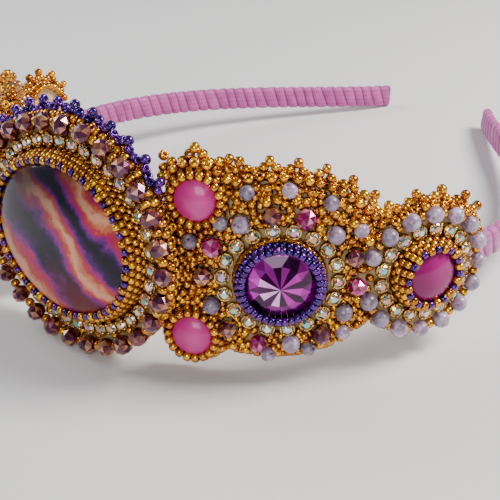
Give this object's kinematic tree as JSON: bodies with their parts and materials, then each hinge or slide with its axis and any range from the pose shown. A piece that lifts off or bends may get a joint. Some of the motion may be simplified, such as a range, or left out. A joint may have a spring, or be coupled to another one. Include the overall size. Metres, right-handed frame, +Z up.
{
  "type": "beaded headband",
  "caption": "Open hair hoop wound in orchid ribbon, its front embroidered with an oval cabochon between clusters of round stones, rhinestone chain and beads.",
  "frame": {"origin": "centre of the bounding box at the surface that the headband lies on", "axes": "+Z up from the surface, -Y towards the medallion at the front, +Y towards the open tips, +X across the head"},
  "size_m": [0.1336, 0.154, 0.0513],
  "materials": {
    "ribbon": "wound orchid ribbon",
    "felt": "cream beading felt under seed beads",
    "picture_glass": "clear glass over a marbled print",
    "pink_glass": "polished pink cat's-eye glass",
    "magenta_glass": "polished magenta glass",
    "fuchsia_crystal": "foiled fuchsia crystal, cut to a point",
    "clear_crystal": "foiled clear rhinestones in gilt cups",
    "gold_bead": "gold-lined amber seed beads",
    "purple_bead": "metallic purple iris beads",
    "lilac": "speckled satin lilac",
    "mauve": "bronzed mauve, fire polished",
    "rose": "iridescent rose, fire polished"
  },
  "bodies": {
    "root": {"hoop_band": "ribbon", "left_edging": "gold_bead", "left_end_bead_ring": "lilac", "left_end_bezel": "gold_bead", "left_end_cabochon": "magenta_glass", "left_end_cup_chain": "clear_crystal", "left_felt": "felt", "left_lilac_bead_1": "lilac", "left_lilac_bead_12": "lilac", "left_lilac_bead_4": "lilac", "left_lilac_bead_7": "lilac", "left_lilac_bead_9": "lilac", "left_lower_bezel": "gold_bead", "left_lower_cabochon": "pink_glass", "left_mauve_bead_11": "mauve", "left_mauve_bead_2": "mauve", "left_mauve_bead_5": "mauve", "left_mauve_bead_8": "mauve", "left_rivoli": "fuchsia_crystal", "left_rivoli_bezel": "purple_bead", "left_rivoli_cup_chain": "clear_crystal", "left_rose_bead_10": "rose", "left_rose_bead_13": "rose", "left_rose_bead_3": "rose", "left_rose_bead_6": "rose", "left_upper_bezel": "gold_bead", "left_upper_cabochon": "pink_glass", "medallion_edging": "purple_bead", "medallion_felt": "felt", "oval_bead_ring": "mauve", "oval_bezel": "gold_bead", "oval_cabochon": "picture_glass", "oval_cup_chain": "clear_crystal", "right_edging": "gold_bead", "right_end_bead_ring": "lilac", "right_end_bezel": "gold_bead", "right_end_cabochon": "magenta_glass", "right_end_cup_chain": "clear_crystal", "right_felt": "felt", "right_lilac_bead_1": "lilac", "right_lilac_bead_12": "lilac", "right_lilac_bead_4": "lilac", "right_lilac_bead_7": "lilac", "right_lilac_bead_9": "lilac", "right_lower_bezel": "gold_bead", "right_lower_cabochon": "pink_glass", "right_mauve_bead_11": "mauve", "right_mauve_bead_2": "mauve", "right_mauve_bead_5": "mauve", "right_mauve_bead_8": "mauve", "right_rivoli": "fuchsia_crystal", "right_rivoli_bezel": "purple_bead", "right_rivoli_cup_chain": "clear_crystal", "right_rose_bead_10": "rose", "right_rose_bead_13": "rose", "right_rose_bead_3": "rose", "right_rose_bead_6": "rose", "right_upper_bezel": "gold_bead", "right_upper_cabochon": "pink_glass"}
  },
  "joints": []
}
